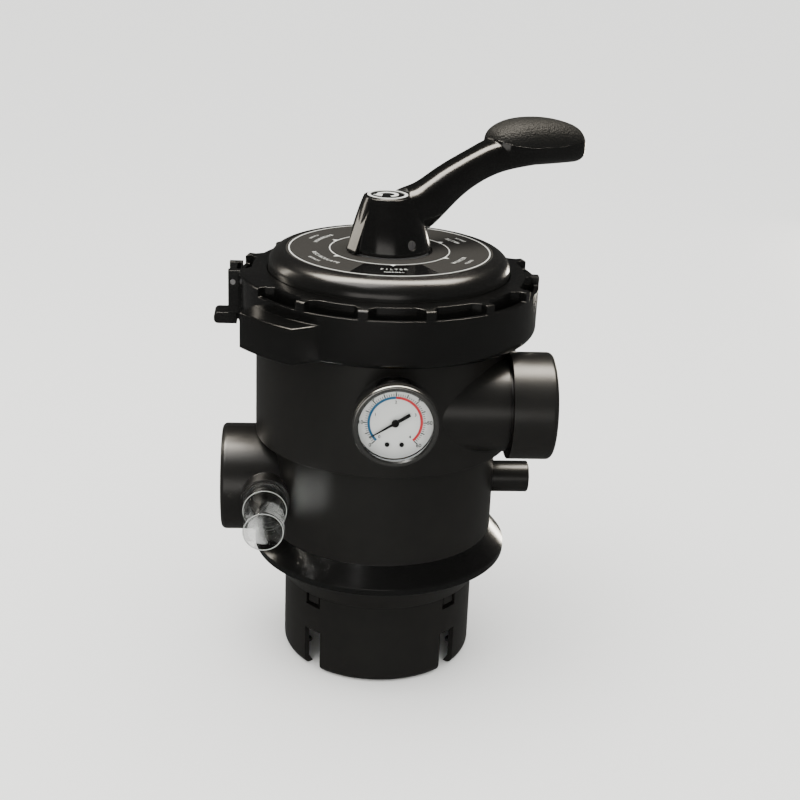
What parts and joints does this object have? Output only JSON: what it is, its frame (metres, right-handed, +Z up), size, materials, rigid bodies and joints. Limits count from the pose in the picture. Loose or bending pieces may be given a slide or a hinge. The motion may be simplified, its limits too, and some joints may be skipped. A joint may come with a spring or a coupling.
{
  "type": "top-mount multiport filter valve",
  "caption": "Top-mount multiport valve head for a pool sand filter: lever handle on a domed lid, scalloped lock ring, side ports, pressure gauge, sight glass and slotted tank neck.",
  "frame": {"origin": "on the valve's axis, in the plane of the flange's seating face on the tank neck", "axes": "+Z up along the valve's axis; -Y towards the user, through the pressure gauge; +X the way the pump port points (its axis is offset 44 mm towards the user), -X through the waste port, +Y through the return port"},
  "size_m": [0.2175, 0.2005, 0.3177],
  "materials": {
    "body_black": "satin",
    "gloss_black": "gloss",
    "label_grey": "matte",
    "seal_rubber": "matte",
    "grey_acetal": "satin",
    "gauge_chrome": "polished",
    "gauge_brass": "satin",
    "spring_steel": "satin",
    "clear_glass": "gloss",
    "dial_white": "satin",
    "pointer_black": "satin"
  },
  "bodies": {
    "valve": {"valve_body": "body_black", "diffuser_neck": "body_black", "flange_o_ring": "seal_rubber", "centre_pipe_seal": "seal_rubber", "spider_gasket": "seal_rubber", "lid": "body_black", "lid_o_ring": "seal_rubber", "position_label": "label_grey", "stem_bush": "grey_acetal", "spring_washer_upper": "spring_steel", "gauge_case": "gauge_chrome", "gauge_bezel": "gauge_chrome", "gauge_lens": "clear_glass", "gauge_dial": "dial_white", "dial_screws": "gauge_brass", "movement_plates": "gauge_brass", "bourdon_tube": "gauge_brass", "gauge_socket": "gauge_brass", "gauge_seal": "seal_rubber", "hairspring": "spring_steel", "sight_glass_gasket": "seal_rubber", "sight_glass_nut": "clear_glass", "sight_glass": "clear_glass", "drain_plug": "body_black", "drain_o_ring": "seal_rubber"},
    "turning_head": {"thrust_washer": "grey_acetal", "rotor_spring": "spring_steel"},
    "rotor": {"rotor": "body_black", "handle_pin": "spring_steel", "stem_o_rings": "seal_rubber", "spring_washer_lower": "spring_steel"},
    "handle": {"handle": "gloss_black", "grip_pad": "body_black", "hub_cap": "label_grey"},
    "lock_ring": {"lock_ring": "gloss_black", "latch_pin": "spring_steel"},
    "latch": {"ring_latch": "body_black", "latch_spring": "spring_steel"},
    "pointer": {"gauge_pointer": "pointer_black", "pinion_shaft": "gauge_brass"},
    "sector": {"sector_gear": "gauge_brass"},
    "link": {"bourdon_link": "gauge_brass"}
  },
  "joints": [
    {"name": "valve_turn", "type": "hinge", "parent": "valve", "child": "turning_head", "pos_m": [0, 0, 0.181], "axis": [0, 0, 1], "continuous": true},
    {"name": "rotor_lift", "type": "slide", "parent": "turning_head", "child": "rotor", "axis": [0, 0, 1], "range_m": [0, 0.0067], "deforming": ["rotor_spring"]},
    {"name": "handle_press", "type": "hinge", "parent": "rotor", "child": "handle", "pos_m": [0, 0, 0.188], "axis": [-0.5, 0.866, 0], "range_deg": [0, 16], "stiffness_Nm_per_rad": 6, "springref_deg": -11.46},
    {"name": "ring_turn", "type": "hinge", "parent": "valve", "child": "lock_ring", "pos_m": [0, 0, 0.15], "axis": [0, 0, 1], "range_deg": [0, 24]},
    {"name": "ring_latch", "type": "hinge", "parent": "lock_ring", "child": "latch", "pos_m": [-0.088, 0, 0.163], "axis": [0, 1, 0], "range_deg": [0, 12], "stiffness_Nm_per_rad": 0.1, "springref_deg": -11.46},
    {"name": "pointer_sweep", "type": "hinge", "parent": "valve", "child": "pointer", "pos_m": [0, -0.0995, 0.114], "axis": [0, 1, 0], "range_deg": [0, 270], "stiffness_Nm_per_rad": 0.0005, "springref_deg": -17.19},
    {"name": "sector_swing", "type": "hinge", "parent": "valve", "child": "sector", "pos_m": [0, -0.0938, 0.10415], "axis": [0, -1, 0], "range_deg": [0, 22.5]},
    {"name": "link_swing", "type": "hinge", "parent": "sector", "child": "link", "pos_m": [-0.00059, -0.0925, 0.10121], "axis": [0, -1, 0], "range_deg": [-22.5, 0]}
  ],
  "couplings": [
    {"joint": "rotor_lift", "follows": "handle_press", "m_per_rad": 0.024},
    {"joint": "sector_swing", "follows": "pointer_sweep", "ratio": 0.083333},
    {"joint": "link_swing", "follows": "pointer_sweep", "ratio": -0.083333}
  ]
}
